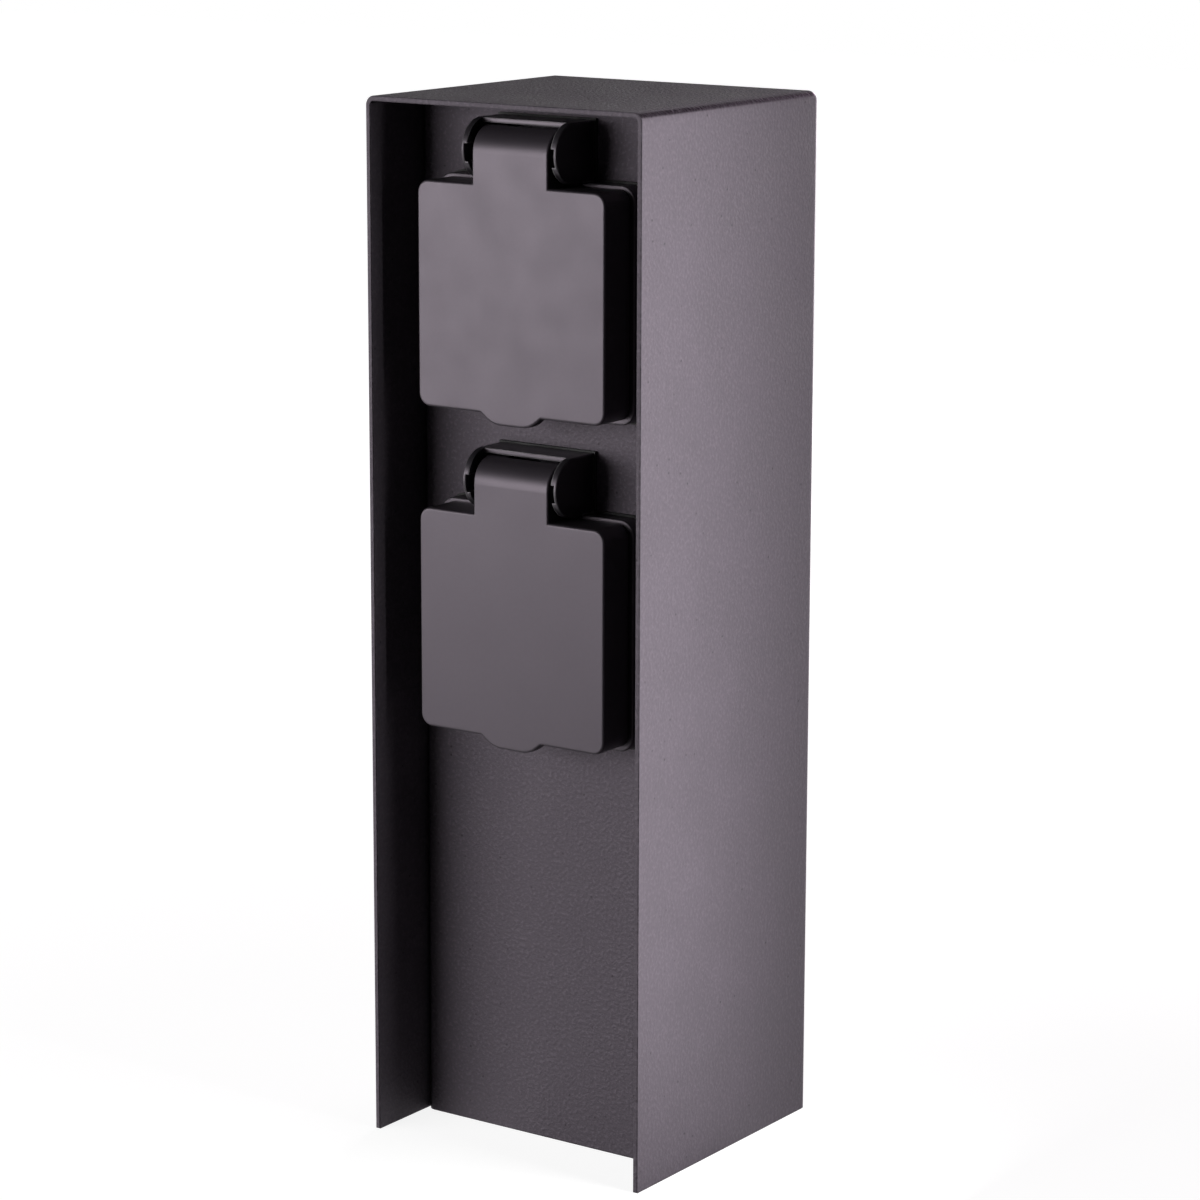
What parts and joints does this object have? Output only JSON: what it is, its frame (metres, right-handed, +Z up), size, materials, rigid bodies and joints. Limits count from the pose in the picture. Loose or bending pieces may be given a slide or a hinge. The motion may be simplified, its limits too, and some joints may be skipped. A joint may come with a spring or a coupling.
{
  "type": "garden socket post",
  "caption": "Short square sheet-metal outdoor power post with an open recessed front and hinged sprung lids over its sockets.",
  "frame": {"origin": "under the middle of the post's footprint, on the surface that it stands on", "axes": "+Z up along the post, -Y out of the open front with the lids, +X to the right seen from the front"},
  "size_m": [0.077, 0.074, 0.25],
  "materials": {
    "powder_coat": "satin dark grey powder coat",
    "zinc": "zinc plated",
    "stainless": "stainless steel",
    "black_plastic": "satin black",
    "lid_plastic": "satin dark grey",
    "seal_rubber": "matt black",
    "carrier_plastic": "matt off-white",
    "terminal_plastic": "matt light grey",
    "brass": "bare",
    "spring_steel": "bright",
    "live_insulation": "brown insulation",
    "neutral_insulation": "blue insulation",
    "earth_insulation": "green and yellow insulation"
  },
  "bodies": {
    "post": {"outer_hood": "powder_coat", "front_panel": "powder_coat", "rear_panel": "powder_coat", "rear_panel_screws": "stainless", "clinch_nuts": "zinc", "weld_studs": "zinc", "stud_washers": "zinc", "stud_nuts": "zinc", "base_plate": "zinc", "base_pad": "seal_rubber", "cable_grommet": "seal_rubber", "cable_clamp": "zinc", "cable_clamp_screws": "zinc", "terminal_block": "terminal_plastic", "terminal_pillars": "brass", "terminal_pillar_screws": "zinc", "terminal_block_screws": "zinc", "earth_stud": "zinc", "earth_washers": "zinc", "earth_lug": "brass", "earth_nut": "zinc", "live_leads": "live_insulation", "neutral_leads": "neutral_insulation", "earth_leads": "earth_insulation", "lower_socket_body": "black_plastic", "lower_panel_gasket": "seal_rubber", "lower_hinge_pin": "stainless", "lower_hinge_spring": "spring_steel", "lower_contact_carrier": "carrier_plastic", "lower_carrier_screws": "zinc", "lower_pin_contacts": "brass", "lower_earth_clip": "brass", "lower_terminal_screws": "zinc", "lower_flange_screws": "stainless", "lower_flange_nuts": "zinc", "upper_socket_body": "black_plastic", "upper_panel_gasket": "seal_rubber", "upper_hinge_pin": "stainless", "upper_hinge_spring": "spring_steel", "upper_contact_carrier": "carrier_plastic", "upper_carrier_screws": "zinc", "upper_pin_contacts": "brass", "upper_earth_clip": "brass", "upper_terminal_screws": "zinc", "upper_flange_screws": "stainless", "upper_flange_nuts": "zinc"},
    "lower_cover": {"lower_lid": "lid_plastic", "lower_lid_seal": "seal_rubber"},
    "upper_cover": {"upper_lid": "lid_plastic", "upper_lid_seal": "seal_rubber"}
  },
  "joints": [
    {"name": "lower_lid_hinge", "type": "hinge", "parent": "post", "child": "lower_cover", "pos_m": [0, -0.0275, 0.16165], "axis": [-1, 0, 0], "range_deg": [0, 100], "stiffness_Nm_per_rad": 0.004, "springref_deg": -34.38, "deforming": ["lower_hinge_spring"]},
    {"name": "upper_lid_hinge", "type": "hinge", "parent": "post", "child": "upper_cover", "pos_m": [0, -0.0275, 0.23815], "axis": [-1, 0, 0], "range_deg": [0, 100], "stiffness_Nm_per_rad": 0.004, "springref_deg": -34.38, "deforming": ["upper_hinge_spring"]}
  ]
}
